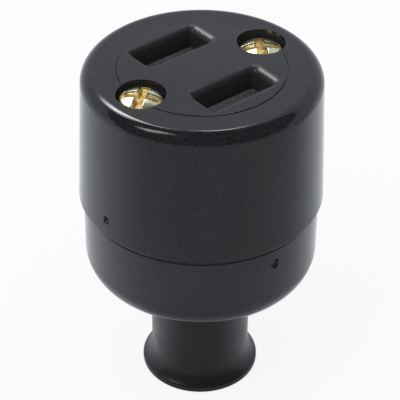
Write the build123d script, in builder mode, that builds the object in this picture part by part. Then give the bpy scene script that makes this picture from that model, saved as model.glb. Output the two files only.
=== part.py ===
from build123d import *

import os
from math import acos, cos, sin, sqrt

# An inline power socket for a plug with two flat parallel blades, on the end of a cord.
# It stands on the flared lip of its cord bush. X runs across the two blade slots, Y runs through
# the two cover screws, and Z is the axis of the body, up to the socket face.

os.makedirs("parts", exist_ok=True)

# Heights of the body, from the lip up
neck_drop = 17.5
cup_height = 12.5
cap_height = 19.05
disc_step = 0.1
disc_crown = 0.15

cup_base_z = neck_drop
seam_z = cup_base_z + cup_height
face_z = seam_z + cap_height
disc_edge_z = face_z + disc_step
disc_z = disc_edge_z + disc_crown

# Walls of the two mouldings, from the inside of the cup outwards
cup_inner_radius = 12.75
cup_wall = 3.0
cup_floor = 2.4
cup_bottom_fillet = 4.0
cup_inner_fillet = 2.0
seam_step = 0.6
cap_taper = 0.7
cap_top_fillet = 1.8
cap_rim_fillet = 0.12
spigot_wall = 1.5
spigot_height = 2.8
spigot_clearance = 0.2
spigot_end_gap = 0.2
nest_clearance = 0.2

cup_radius = cup_inner_radius + cup_wall
cap_rim_radius = cup_radius + seam_step
cap_top_radius = cap_rim_radius - cap_taper
spigot_radius = cup_inner_radius + spigot_wall
skirt_inner_radius = spigot_radius + spigot_clearance
block_radius = cup_inner_radius - nest_clearance
floor_z = cup_base_z + cup_floor
spigot_top_z = seam_z + spigot_height
groove_top_z = spigot_top_z + spigot_end_gap

# Face of the cap
disc_radius = 11.0
disc_edge_fillet = 0.06
blade_pitch = 12.7
pocket_width = 4.0
pocket_length = 10.5
pocket_corner_radius = 0.5
pocket_depth = 3.0
pocket_mouth_fillet = 0.85
funnel_depth = 0.7
slot_width = 2.6
slot_length = 9.1
slot_corner_radius = 0.3
slot_land = 1.1

slot_x = blade_pitch / 2
pocket_floor_z = disc_z - pocket_depth
funnel_floor_z = pocket_floor_z - funnel_depth
slot_floor_z = funnel_floor_z - slot_land

# Contact jaws: a U of spring strip, pinched near its mouth, with each leaf slit into two fingers
jaw_thickness = 0.5
jaw_width = 6.4
jaw_mouth_half = 2.1
jaw_pinch_half = 1.1
jaw_lead_in = 2.6
jaw_spring_run = 5.0
jaw_bend_radius = 0.9
jaw_slit_width = 0.8
jaw_slit_length = 7.0
jaw_top_gap = 0.5
chamber_side_gap = 0.4
chamber_end_gap = 0.2

# Rivets that join each jaw to its plate
rivet_radius = 0.8
rivet_head_radius = 1.4
rivet_head_height = 0.6
rivet_hole_clearance = 0.05
rivet_seat_gap = 0.1

jaw_base_half = rivet_head_radius + rivet_seat_gap + jaw_bend_radius

# The deck under the cap lies just past the tip of the longest blade
blade_length = 18.3
blade_end_gap = 0.3
deck_z = disc_z - blade_length - blade_end_gap - rivet_head_height - jaw_thickness
chamber_height = slot_floor_z - deck_z
chamber_width = 2 * (jaw_base_half + chamber_side_gap)
chamber_length = slot_length + 2 * chamber_end_gap
jaw_height = chamber_height - jaw_top_gap

# Terminals: a plate against the deck, with a screw and a dished washer under it
plate_thickness = 1.2
plate_width = 5.0
plate_end_margin = 0.8
lug_width = 4.0
lug_wall_gap = 1.2
terminal_screw_radius = 1.5
terminal_head_radius = 2.5
terminal_head_height = 1.8
terminal_head_side = 0.8
terminal_tip_length = 1.5
terminal_relief_gap = 0.3
terminal_thread_clearance = 0.05
terminal_wall_gap = 0.4
washer_radius = 2.7
washer_thickness = 0.5
washer_dish = 0.3
washer_rim = 0.5
washer_hole_clearance = 0.15

plate_base_z = deck_z - plate_thickness
washer_base_z = plate_base_z - washer_dish - washer_thickness
lug_reach = cup_inner_radius - lug_wall_gap - slot_x
terminal_reach = cup_inner_radius - terminal_wall_gap - washer_radius
terminal_y = sqrt(terminal_reach**2 - slot_x**2)

# Cover screws, their counterbores and the threaded inserts in the cup's bosses
boss_inset = 2.85
screw_radius = 1.5
screw_head_radius = 2.75
screw_head_height = 1.6
screw_head_side = 1.0
screw_head_edge = 0.5
screw_hole_clearance = 0.2
screw_tip_gap = 0.5
thread_clearance = 0.05
counterbore_radius = 3.2
front_seat_depth = 1.8
back_seat_depth = 2.2
insert_radius = 2.0
insert_length = 6.0
insert_groove_width = 0.8
insert_groove_depth = 0.25
boss_radius = 2.8
boss_gap = 0.3
boss_wall_bite = 0.5
boss_tip_room = 1.0

screw_offset = cup_inner_radius - boss_inset
boss_top_z = deck_z - boss_gap
insert_base_z = boss_top_z - insert_length
deeper_seat_z = disc_z - max(front_seat_depth, back_seat_depth)
screw_length = deeper_seat_z - insert_base_z - screw_tip_gap

# Recess in a screw head: a slot right across it and a tapered cross
recess_slot_width = 0.8
recess_slot_depth = 0.7
recess_cross_width = 0.9
recess_cross_length = 3.4
recess_cross_depth = 1.2
recess_cross_taper = 8.0
front_recess_angle = 127.0
back_recess_angle = 60.0

# Cord bush: a soft sleeve with a flared mouth, and a flange that keys between the bosses
bush_radius = 6.8
bush_hole_clearance = 0.1
bore_radius = 4.2
lip_flare = 1.3
lip_side = 0.35
lip_round = 0.4
flare_radius = 2.5
lip_wall = 1.3
mouth_height = 4.6
flange_thickness = 2.0
flange_overhang = 2.3
flange_key_gap = 0.2

lip_radius = bush_radius + lip_flare
lip_top_z = lip_round + lip_side
flare_angle = acos(1 - lip_flare / (flare_radius + lip_round))
flare_top_z = lip_top_z + (flare_radius + lip_round) * sin(flare_angle)
flare_end_x = bush_radius + flare_radius * (1 - cos(flare_angle))
flare_end_z = flare_top_z - flare_radius * sin(flare_angle)
mouth_radius = lip_radius - lip_wall
flange_radius = bush_radius + flange_overhang
flange_top_z = floor_z + flange_thickness
flange_key_half = screw_offset - boss_radius - flange_key_gap
bush_hole_radius = bush_radius + bush_hole_clearance

# Barrier between the two poles, from the deck down to the room for the cord's cores
barrier_thickness = 1.6
barrier_end_gap = 0.4
cord_room = 2.2

barrier_half_length = screw_offset - boss_radius - barrier_end_gap
barrier_base_z = flange_top_z + cord_room

# Ribs in the cup that hold the terminal plates against the deck
rib_thickness = 2.5
rib_flange_gap = 0.3
rib_top_gap = 0.15

rib_inner_x = flange_radius + rib_flange_gap
rib_outer_x = cup_inner_radius + boss_wall_bite

# Pits left in the two mouldings where their gates were broken off
pit_width = 0.9
pit_height = 1.2
pit_corner_radius = 0.25
pit_depth = 0.4
cap_pit_rise = 3.0
cup_pit_drop = 2.8

cap_pit_z = seam_z + cap_pit_rise
cap_pit_cut = pit_depth + cap_taper * cap_pit_rise / cap_height


def pole_plane(side, height):
    """A level plane at one pole, with its x outwards; the two poles are half a turn apart."""
    return Plane(origin=(side * slot_x, 0, height), x_dir=(side, 0, 0), z_dir=(0, 0, 1))


# Socket cap: a turned block with a skirt around the groove that takes the cup's spigot
# It is turned from the YZ plane, so that the seam of its crowned disc stays clear of the pockets
with BuildPart() as socket_cap:
    with BuildSketch(Plane.YZ) as cap_profile:
        with BuildLine():
            Polyline(
                (0, disc_z),
                (0, deck_z),
                (block_radius, deck_z),
                (block_radius, groove_top_z),
                (skirt_inner_radius, groove_top_z),
                (skirt_inner_radius, seam_z),
                (cap_rim_radius, seam_z),
                (cap_top_radius, face_z),
                (disc_radius, face_z),
                (disc_radius, disc_edge_z),
            )
            TangentArc((0, disc_z), (disc_radius, disc_edge_z), tangent=(1, 0))
        make_face()
        corners = cap_profile.vertices()
        fillet(corners.sort_by_distance((cap_top_radius, face_z))[0], cap_top_fillet)
        fillet(corners.sort_by_distance((cap_rim_radius, seam_z))[0], cap_rim_fillet)
        fillet(corners.sort_by_distance((disc_radius, disc_edge_z))[0], disc_edge_fillet)
    revolve(axis=Axis.Z)

    # Pockets with rounded mouths, that guide the blades in
    with BuildSketch(Plane.XY.offset(disc_z)):
        with Locations((-slot_x, 0), (slot_x, 0)):
            RectangleRounded(pocket_width, pocket_length, pocket_corner_radius)
    extrude(amount=-pocket_depth, mode=Mode.SUBTRACT)
    fillet(socket_cap.edges(Select.LAST).filter_by_position(Axis.Z, face_z, disc_z), pocket_mouth_fillet)

    # Each pocket's floor falls as a funnel to its blade slot, which opens into a contact chamber
    for side in (-1, 1):
        with BuildSketch(pole_plane(side, pocket_floor_z)):
            RectangleRounded(pocket_width, pocket_length, pocket_corner_radius)
        with BuildSketch(pole_plane(side, funnel_floor_z)):
            RectangleRounded(slot_width, slot_length, slot_corner_radius)
        loft(mode=Mode.SUBTRACT)
    with BuildSketch(Plane.XY.offset(funnel_floor_z)):
        with Locations((-slot_x, 0), (slot_x, 0)):
            RectangleRounded(slot_width, slot_length, slot_corner_radius)
    extrude(amount=-slot_land, mode=Mode.SUBTRACT)
    with BuildSketch(Plane.XY.offset(deck_z)):
        with Locations((-slot_x, 0), (slot_x, 0)):
            Rectangle(chamber_width, chamber_length)
    extrude(amount=chamber_height, mode=Mode.SUBTRACT)

    # Room over the tips of the terminal screws
    with BuildSketch(Plane.XY.offset(deck_z)):
        with Locations((slot_x, -terminal_y), (-slot_x, terminal_y)):
            Circle(terminal_screw_radius + washer_hole_clearance)
    extrude(amount=terminal_tip_length + terminal_relief_gap, mode=Mode.SUBTRACT)

    # Counterbores for the cover screws
    with Locations((0, -screw_offset, disc_z)):
        CounterBoreHole(
            radius=screw_radius + screw_hole_clearance,
            counter_bore_radius=counterbore_radius,
            counter_bore_depth=front_seat_depth,
        )
    with Locations((0, screw_offset, disc_z)):
        CounterBoreHole(
            radius=screw_radius + screw_hole_clearance,
            counter_bore_radius=counterbore_radius,
            counter_bore_depth=back_seat_depth,
        )

    # Barrier between the poles, clear of the cup's bosses
    with BuildSketch(Plane.XY.offset(deck_z)):
        Rectangle(barrier_thickness, 2 * barrier_half_length)
    extrude(amount=barrier_base_z - deck_z)

    # Gate pit near the rim, below the front screw
    with BuildSketch(Plane(origin=(0, -cap_rim_radius, cap_pit_z), x_dir=(1, 0, 0), z_dir=(0, -1, 0))):
        RectangleRounded(pit_width, pit_height, pit_corner_radius)
    extrude(amount=-cap_pit_cut, mode=Mode.SUBTRACT)

socket_cap.part.label = "socket_cap"
export_step(socket_cap.part, "parts/socket_cap.step")

# Cord cup: a turned cup with a round bottom, a spigot, two bosses and two ribs
with BuildPart() as cord_cup:
    with BuildSketch(Plane.XZ) as cup_profile:
        with BuildLine():
            Polyline(
                (bush_hole_radius, cup_base_z),
                (cup_radius, cup_base_z),
                (cup_radius, seam_z),
                (spigot_radius, seam_z),
                (spigot_radius, spigot_top_z),
                (cup_inner_radius, spigot_top_z),
                (cup_inner_radius, floor_z),
                (bush_hole_radius, floor_z),
                close=True,
            )
        make_face()
        corners = cup_profile.vertices()
        fillet(corners.sort_by_distance((cup_radius, cup_base_z))[0], cup_bottom_fillet)
        fillet(corners.sort_by_distance((cup_inner_radius, floor_z))[0], cup_inner_fillet)
    revolve(axis=Axis.Z)

    # Screw bosses, joined to the wall
    boss_web = cup_inner_radius + boss_wall_bite - screw_offset
    with BuildSketch(Plane.XY.offset(floor_z)) as bosses:
        with PolarLocations(screw_offset, 2, start_angle=90):
            Circle(boss_radius)
            Rectangle(boss_web, 2 * boss_radius, align=(Align.MIN, Align.CENTER))
    extrude(amount=boss_top_z - floor_z)

    # Ribs under the lugs of the terminal plates
    with BuildSketch(Plane.XY.offset(floor_z)):
        with PolarLocations(rib_inner_x, 2):
            Rectangle(rib_outer_x - rib_inner_x, rib_thickness, align=(Align.MIN, Align.CENTER))
    extrude(amount=plate_base_z - rib_top_gap - floor_z)

    # Holes for the threaded inserts, with room below them for the screw tips
    with Locations((0, -screw_offset, boss_top_z), (0, screw_offset, boss_top_z)):
        CounterBoreHole(
            radius=screw_radius + screw_hole_clearance,
            counter_bore_radius=insert_radius,
            counter_bore_depth=insert_length,
            depth=insert_length + boss_tip_room,
        )

    # Gate pit below the seam
    with BuildSketch(Plane(origin=(cup_radius, 0, seam_z - cup_pit_drop), x_dir=(0, 1, 0), z_dir=(1, 0, 0))):
        RectangleRounded(pit_width, pit_height, pit_corner_radius)
    extrude(amount=-pit_depth, mode=Mode.SUBTRACT)

cord_cup.part.label = "cord_cup"
export_step(cord_cup.part, "parts/cord_cup.step")

# Cord bush: a turned sleeve whose wall flares at its mouth, with two flats on its flange
with BuildPart() as cord_bush:
    with BuildSketch(Plane.XZ) as bush_profile:
        with BuildLine():
            flare_top = (bush_radius, flare_top_z)
            flare_end = (flare_end_x, flare_end_z)
            Polyline((mouth_radius, 0), (lip_radius, 0), (lip_radius, lip_top_z))
            TangentArc((lip_radius, lip_top_z), flare_end, tangent=(0, 1))
            TangentArc(flare_top, flare_end, tangent=(0, -1))
            Polyline(
                flare_top,
                (bush_radius, floor_z),
                (flange_radius, floor_z),
                (flange_radius, flange_top_z),
                (bore_radius, flange_top_z),
                (bore_radius, mouth_height),
            )
            TangentArc((bore_radius, mouth_height), (mouth_radius, 0), tangent=(0, -1))
        make_face()
        fillet(bush_profile.vertices().sort_by_distance((lip_radius, 0))[0], lip_round)
    revolve(axis=Axis.Z)
    with BuildSketch(Plane.XY.offset(floor_z)):
        with PolarLocations(flange_key_half, 2, start_angle=90):
            Rectangle(flange_radius, 2 * flange_radius, align=(Align.MIN, Align.CENTER))
    extrude(amount=flange_thickness, mode=Mode.SUBTRACT)

cord_bush.part.label = "cord_bush"
export_step(cord_bush.part, "parts/cord_bush.step")

# Contacts: one set for each pole, the left one half a turn from the right one
for side, pole in ((1, "right"), (-1, "left")):
    across_plane = Plane(origin=(side * slot_x, 0, deck_z), x_dir=(side, 0, 0), z_dir=(0, -side, 0))
    along_plane = Plane(origin=(side * slot_x, 0, deck_z), x_dir=(0, side, 0), z_dir=(side, 0, 0))

    with BuildPart() as contact_jaw:
        with BuildSketch(across_plane):
            with BuildLine():
                FilletPolyline(
                    (-jaw_mouth_half, jaw_height),
                    (-jaw_pinch_half, jaw_height - jaw_lead_in),
                    (-jaw_base_half, jaw_height - jaw_lead_in - jaw_spring_run),
                    (-jaw_base_half, 0),
                    (jaw_base_half, 0),
                    (jaw_base_half, jaw_height - jaw_lead_in - jaw_spring_run),
                    (jaw_pinch_half, jaw_height - jaw_lead_in),
                    (jaw_mouth_half, jaw_height),
                    radius=jaw_bend_radius,
                )
                offset(amount=jaw_thickness, side=Side.LEFT)
            make_face()
        extrude(amount=jaw_width / 2, both=True)
        with BuildSketch(along_plane):
            with Locations((0, jaw_height)):
                Rectangle(jaw_slit_width, 2 * jaw_slit_length)
        extrude(amount=jaw_mouth_half, both=True, mode=Mode.SUBTRACT)
        with BuildSketch(pole_plane(side, deck_z)):
            Circle(rivet_radius + rivet_hole_clearance)
        extrude(amount=jaw_thickness, mode=Mode.SUBTRACT)
    contact_jaw.part.label = f"contact_jaw_{pole}"
    export_step(contact_jaw.part, f"parts/contact_jaw_{pole}.step")

    with BuildPart() as terminal_plate:
        with BuildSketch(pole_plane(side, plate_base_z)):
            plate_end = jaw_width / 2 + plate_end_margin
            with Locations((0, plate_end)):
                Rectangle(plate_width, plate_end + terminal_y, align=(Align.CENTER, Align.MAX))
            Rectangle(lug_reach, lug_width, align=(Align.MIN, Align.CENTER))
            Circle(rivet_radius + rivet_hole_clearance, mode=Mode.SUBTRACT)
            with Locations((0, -terminal_y)):
                Circle(plate_width / 2)
                Circle(terminal_screw_radius + terminal_thread_clearance, mode=Mode.SUBTRACT)
        extrude(amount=plate_thickness)
    terminal_plate.part.label = f"terminal_plate_{pole}"
    export_step(terminal_plate.part, f"parts/terminal_plate_{pole}.step")

    with BuildPart() as contact_rivet:
        with BuildSketch(across_plane):
            with BuildLine():
                crown = (0, jaw_thickness + rivet_head_height)
                foot = (0, -plate_thickness - rivet_head_height)
                TangentArc(crown, (rivet_head_radius, jaw_thickness), tangent=(1, 0))
                Polyline(
                    (rivet_head_radius, jaw_thickness),
                    (rivet_radius, jaw_thickness),
                    (rivet_radius, -plate_thickness),
                    (rivet_head_radius, -plate_thickness),
                )
                TangentArc(foot, (rivet_head_radius, -plate_thickness), tangent=(1, 0))
                Line(foot, crown)
            make_face()
        revolve(axis=Axis((side * slot_x, 0, 0), (0, 0, 1)))
    contact_rivet.part.label = f"contact_rivet_{pole}"
    export_step(contact_rivet.part, f"parts/contact_rivet_{pole}.step")

    terminal_plane = Plane(
        origin=(side * slot_x, -side * terminal_y, plate_base_z), x_dir=(side, 0, 0), z_dir=(0, -side, 0)
    )
    terminal_axis = Axis(terminal_plane.origin, (0, 0, 1))

    with BuildPart() as terminal_washer:
        washer_hole_radius = terminal_screw_radius + washer_hole_clearance
        with BuildSketch(terminal_plane):
            with BuildLine():
                Polyline(
                    (washer_hole_radius, -washer_dish),
                    (washer_radius - washer_rim, -washer_dish),
                    (washer_radius - washer_rim, 0),
                    (washer_radius, 0),
                    (washer_radius, -washer_dish - washer_thickness),
                    (washer_hole_radius, -washer_dish - washer_thickness),
                    close=True,
                )
            make_face()
        revolve(axis=terminal_axis)
    terminal_washer.part.label = f"terminal_washer_{pole}"
    export_step(terminal_washer.part, f"parts/terminal_washer_{pole}.step")

    with BuildPart() as terminal_screw:
        with BuildSketch(terminal_plane):
            seat = washer_base_z - plate_base_z
            with BuildLine():
                Polyline(
                    (0, seat - terminal_head_height),
                    (0, plate_thickness + terminal_tip_length),
                    (terminal_screw_radius, plate_thickness + terminal_tip_length),
                    (terminal_screw_radius, seat),
                    (terminal_head_radius, seat),
                    (terminal_head_radius, seat - terminal_head_side),
                )
                TangentArc(
                    (0, seat - terminal_head_height),
                    (terminal_head_radius, seat - terminal_head_side),
                    tangent=(1, 0),
                )
            make_face()
        revolve(axis=terminal_axis)
        head_plane = Plane(
            origin=(side * slot_x, -side * terminal_y, washer_base_z - terminal_head_height),
            x_dir=(1, 0, 0),
            z_dir=(0, 0, -1),
        )
        with BuildSketch(head_plane):
            Rectangle(2 * terminal_head_radius, recess_slot_width)
        extrude(amount=-recess_slot_depth, mode=Mode.SUBTRACT)
    terminal_screw.part.label = f"terminal_screw_{pole}"
    export_step(terminal_screw.part, f"parts/terminal_screw_{pole}.step")

# Cover screws and their inserts
for name, screw_y, seat_depth, recess_angle in (
    ("front", -screw_offset, front_seat_depth, front_recess_angle),
    ("back", screw_offset, back_seat_depth, back_recess_angle),
):
    seat_z = disc_z - seat_depth
    screw_axis = Axis((0, screw_y, 0), (0, 0, 1))
    screw_plane = Plane(origin=(0, screw_y, seat_z), x_dir=(1, 0, 0), z_dir=(0, -1, 0))

    with BuildPart() as cover_screw:
        with BuildSketch(screw_plane) as screw_profile:
            with BuildLine():
                Polyline(
                    (0, screw_head_height),
                    (0, -screw_length),
                    (screw_radius, -screw_length),
                    (screw_radius, 0),
                    (screw_head_radius, 0),
                    (screw_head_radius, screw_head_side),
                )
                TangentArc((0, screw_head_height), (screw_head_radius, screw_head_side), tangent=(1, 0))
            make_face()
            brim = screw_profile.vertices().sort_by_distance((screw_head_radius, screw_head_side))[0]
            fillet(brim, screw_head_edge)
        revolve(axis=screw_axis)
        crown_plane = Plane(origin=(0, screw_y, seat_z + screw_head_height)).rotated((0, 0, recess_angle))
        with BuildSketch(crown_plane):
            Rectangle(2 * screw_head_radius, recess_slot_width)
        extrude(amount=-recess_slot_depth, mode=Mode.SUBTRACT)
        with BuildSketch(crown_plane):
            Rectangle(recess_cross_length, recess_cross_width)
            Rectangle(recess_cross_width, recess_cross_length)
        extrude(amount=-recess_cross_depth, taper=recess_cross_taper, mode=Mode.SUBTRACT)
    cover_screw.part.label = f"cover_screw_{name}"
    export_step(cover_screw.part, f"parts/cover_screw_{name}.step")

    with BuildPart() as cover_insert:
        with BuildSketch(Plane.XY.offset(insert_base_z)):
            with Locations((0, screw_y)):
                Circle(insert_radius)
                Circle(screw_radius + thread_clearance, mode=Mode.SUBTRACT)
        extrude(amount=insert_length)
        with BuildSketch(Plane.XY.offset(insert_base_z + (insert_length - insert_groove_width) / 2)):
            with Locations((0, screw_y)):
                Circle(insert_radius)
                Circle(insert_radius - insert_groove_depth, mode=Mode.SUBTRACT)
        extrude(amount=insert_groove_width, mode=Mode.SUBTRACT)
    cover_insert.part.label = f"cover_insert_{name}"
    export_step(cover_insert.part, f"parts/cover_insert_{name}.step")
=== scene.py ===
"""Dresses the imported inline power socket: finer mouldings, plated screws, finishes, studio and camera."""

import logging
import math
from dataclasses import dataclass
from enum import Enum
from typing import Callable, Iterable, Optional, Sequence, Union

import bmesh
import bpy
from mathutils import Matrix, Vector


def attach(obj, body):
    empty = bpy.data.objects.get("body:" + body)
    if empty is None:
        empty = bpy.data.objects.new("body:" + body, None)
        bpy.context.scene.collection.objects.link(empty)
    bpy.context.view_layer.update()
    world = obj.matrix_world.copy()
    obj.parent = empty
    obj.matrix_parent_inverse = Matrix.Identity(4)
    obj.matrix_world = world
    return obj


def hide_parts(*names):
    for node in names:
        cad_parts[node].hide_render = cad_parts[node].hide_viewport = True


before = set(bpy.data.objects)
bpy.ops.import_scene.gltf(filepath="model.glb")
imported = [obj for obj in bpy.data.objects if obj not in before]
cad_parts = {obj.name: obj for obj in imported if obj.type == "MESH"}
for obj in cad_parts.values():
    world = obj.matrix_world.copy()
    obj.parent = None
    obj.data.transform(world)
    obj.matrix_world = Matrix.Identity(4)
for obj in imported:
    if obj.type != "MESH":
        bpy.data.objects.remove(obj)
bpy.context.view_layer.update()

MM = 0.001
BODY = "root"
LOG = logging.getLogger("inline_socket")

# What counts as no distance, in metres
TINY = 1e-7

# In millimetres: how far a cutter passes a surface, how far a joined piece enters another, and two tolerances
PASS = 1.0
BITE = 0.5
SLACK = 0.1
NEAR = 0.01

Colour = tuple[float, float, float]
Pair = tuple[float, float]
Triple = tuple[float, float, float]

WHITE: Colour = (1.0, 1.0, 1.0)


class Slot(Enum):
    """The record's material slots."""

    MOULDING = "black_thermoset"
    SLEEVE = "black_sleeve"
    ZINC = "yellow_zinc"
    BRONZE = "spring_bronze"
    BRASS = "terminal_brass"
    STEEL = "terminal_steel"


# Shader nodes


@dataclass(frozen=True)
class Grain:
    """A noise pattern."""

    scale: float  # Features per millimetre
    detail: float = 2.0  # How many finer layers are added
    roughness: float = 0.5  # How strong they are
    stretch: Triple = (1.0, 1.0, 1.0)  # What each axis is multiplied by first


@dataclass(frozen=True)
class Band:
    """A range of places with soft edges."""

    start: Pair  # Where it starts to show, and where it shows in full
    end: Pair  # Where it starts to fade, and where it is gone


class Signal:
    """An output socket, with the arithmetic that the finishes use."""

    def __init__(self, sheet: "NodeSheet", socket: bpy.types.NodeSocket) -> None:
        """Keeps the socket and the sheet that it is on."""
        self.sheet = sheet
        self.socket = socket

    def _math(self, operation: str, first: "Value", second: "Value") -> "Signal":
        """Adds one Math node."""
        return self.sheet.add("ShaderNodeMath", {"operation": operation}, {0: first, 1: second})

    def __add__(self, other: "Value") -> "Signal":
        """Sum."""
        return self._math("ADD", self, other)

    def __radd__(self, other: "Value") -> "Signal":
        """Sum, reflected."""
        return self._math("ADD", other, self)

    def __sub__(self, other: "Value") -> "Signal":
        """Difference."""
        return self._math("SUBTRACT", self, other)

    def __rsub__(self, other: "Value") -> "Signal":
        """Difference, reflected."""
        return self._math("SUBTRACT", other, self)

    def __mul__(self, other: "Value") -> "Signal":
        """Product."""
        return self._math("MULTIPLY", self, other)

    def __rmul__(self, other: "Value") -> "Signal":
        """Product, reflected."""
        return self._math("MULTIPLY", other, self)

    def __abs__(self) -> "Signal":
        """Size without its sign."""
        return self._math("ABSOLUTE", self, 0.0)

    def larger(self, other: "Value") -> "Signal":
        """The larger of two values."""
        return self._math("MAXIMUM", self, other)

    def above(self, low: float, high: float) -> "Signal":
        """A smooth step from 0 at low to 1 at high."""
        settings = {"interpolation_type": "SMOOTHSTEP"}
        return self.sheet.add("ShaderNodeMapRange", settings, {"Value": self, "From Min": low, "From Max": high})

    def below(self, low: float, high: float) -> "Signal":
        """A smooth step from 1 at low to 0 at high."""
        return self.above(high, low)

    def within(self, band: Band) -> "Signal":
        """1 inside a band and 0 outside it."""
        return self.above(*band.start) * self.below(*band.end)


Value = Union[float, Signal]


class NodeSheet:
    """A node tree in the making, of a material or of the world."""

    def __init__(self, owner: Union[bpy.types.Material, bpy.types.World]) -> None:
        """Starts with an empty tree.

        Args:
            owner: The material or the world that the tree belongs to.
        """
        owner.use_nodes = True
        self.owner = owner
        self.tree = owner.node_tree
        self.tree.nodes.clear()

    @classmethod
    def material(cls, name: str) -> "NodeSheet":
        """A sheet for a new material."""
        return cls(bpy.data.materials.new(name))

    def add(
        self,
        kind: str,
        settings: dict[str, object],
        sockets: dict[Union[int, str], object],
        output: Union[int, str] = 0,
    ) -> Signal:
        """Adds a node.

        Args:
            kind: The node's type.
            settings: Its own settings, set first.
            sockets: Values or links for its inputs, by name or number.
            output: Which of its outputs to hand back.

        Returns:
            The chosen output.
        """
        node = self.tree.nodes.new(kind)
        for key, value in settings.items():
            setattr(node, key, value)
        for key, value in sockets.items():
            if isinstance(value, Signal):
                self.tree.links.new(value.socket, node.inputs[key])
            else:
                node.inputs[key].default_value = value
        return Signal(self, node.outputs[output])

    def millimetres(self) -> Signal:
        """Object coordinates, in millimetres."""
        metres = self.add("ShaderNodeTexCoord", {}, {}, "Object")
        return self.add("ShaderNodeVectorMath", {"operation": "SCALE"}, {0: metres, "Scale": 1 / MM})

    def scaled(self, place: Signal, scale: Sequence[float]) -> Signal:
        """Coordinates multiplied by a scale for each axis."""
        return self.add("ShaderNodeVectorMath", {"operation": "MULTIPLY"}, {0: place, 1: tuple(scale)})

    def axes(self, place: Signal) -> tuple[Signal, Signal, Signal]:
        """Coordinates as three values.

        Args:
            place: The coordinates.

        Returns:
            The x, y and z values.
        """
        x = self.add("ShaderNodeSeparateXYZ", {}, {0: place}, "X")
        outputs = x.socket.node.outputs
        return x, Signal(self, outputs["Y"]), Signal(self, outputs["Z"])

    def radius(self, place: Signal) -> Signal:
        """Distance from the Z axis."""
        level = self.scaled(place, (1.0, 1.0, 0.0))
        return self.add("ShaderNodeVectorMath", {"operation": "LENGTH"}, {0: level}, "Value")

    def noise(self, place: Signal, grain: Grain) -> Signal:
        """Noise between about 0.2 and 0.8.

        Args:
            place: The coordinates, in millimetres.
            grain: The pattern.

        Returns:
            The noise's value.
        """
        vector = self.scaled(place, grain.stretch)
        sockets = {"Vector": vector, "Scale": grain.scale, "Detail": grain.detail, "Roughness": grain.roughness}
        return self.add("ShaderNodeTexNoise", {"noise_dimensions": "3D"}, sockets, "Fac")

    def blend(self, share: Value, first: object, second: object) -> Signal:
        """A mix of two colours.

        Args:
            share: How much of the second is in it.
            first: A colour, or a signal that carries one.
            second: The other.

        Returns:
            The mixed colour.
        """
        ends = {6: first, 7: second}
        sockets = {key: value if isinstance(value, Signal) else (*value, 1.0) for key, value in ends.items()}
        return self.add("ShaderNodeMix", {"data_type": "RGBA"}, {0: share, **sockets}, 2)

    def bump(self, height: Signal, depth: float) -> Signal:
        """A normal that follows a height, where 1 is the full depth in millimetres."""
        return self.add("ShaderNodeBump", {}, {"Height": height, "Distance": depth * MM, "Strength": 1.0})

    def rays(self) -> tuple[Signal, Signal]:
        """Tells the rays apart.

        Returns:
            1 for what the eye and glass see, and 1 for what gloss sees; both are 0 for what lights the object.
        """
        camera = self.add("ShaderNodeLightPath", {}, {}, "Is Camera Ray")
        outputs = camera.socket.node.outputs
        seen = camera.larger(Signal(self, outputs["Is Transmission Ray"]))
        return seen, Signal(self, outputs["Is Glossy Ray"])

    def surface(self, sockets: dict[Union[int, str], object]) -> bpy.types.Material:
        """Closes a material with one Principled shader."""
        return self.close(self.add("ShaderNodeBsdfPrincipled", {}, sockets), "ShaderNodeOutputMaterial")

    def mixed(self, share: Signal, first: Signal, second: Signal) -> bpy.types.Material:
        """Closes a material with a mix of two shaders."""
        both = self.add("ShaderNodeMixShader", {}, {0: share, 1: first, 2: second})
        return self.close(both, "ShaderNodeOutputMaterial")

    def close(self, shader: Signal, kind: str) -> Union[bpy.types.Material, bpy.types.World]:
        """Links a shader to the tree's output.

        Args:
            shader: The shader.
            kind: The output node's type.

        Returns:
            The tree's owner.
        """
        end = self.tree.nodes.new(kind)
        self.tree.links.new(shader.socket, end.inputs["Surface"])
        return self.owner


# Finishes


@dataclass(frozen=True)
class WearPlaces:
    """Where the mouldings are dusty, rubbed or dull, and where shade is painted on them, in millimetres."""

    open_reach: Pair = (13.1, 13.3)  # Radii over which the openings end
    dust: Pair = (48.0, 49.0)  # Heights over which their dust thins out
    funnel: Band = Band((45.5, 45.55), (46.24, 46.32))  # Heights of the scuffed funnels
    slot_x: float = 6.35
    long_sides: Band = Band((1.85, 2.0), (2.7, 3.0))  # Of the mouths, across from a slot's middle
    side_ends: Pair = (4.9, 5.3)  # Where the long sides end, along the slot
    mouth_foot: Pair = (45.0, 45.5)  # Heights over which they start
    slope: Band = Band((4.7, 4.85), (6.0, 6.2))  # At the mouths' ends, along the slot
    slope_sides: Pair = (2.3, 2.6)  # Where the slopes end, across from a slot's middle
    seam: Band = Band((29.15, 29.3), (29.7, 29.75))  # Heights of the band of painted shade on the cup under the cap's rim
    step: Band = Band((10.9, 10.937), (11.084, 11.12))  # Radii of the painted dark line at the disc's edge, which stands in for the step's shade
    step_foot: Pair = (48.95, 49.0)  # Heights over which that painted line starts


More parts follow.
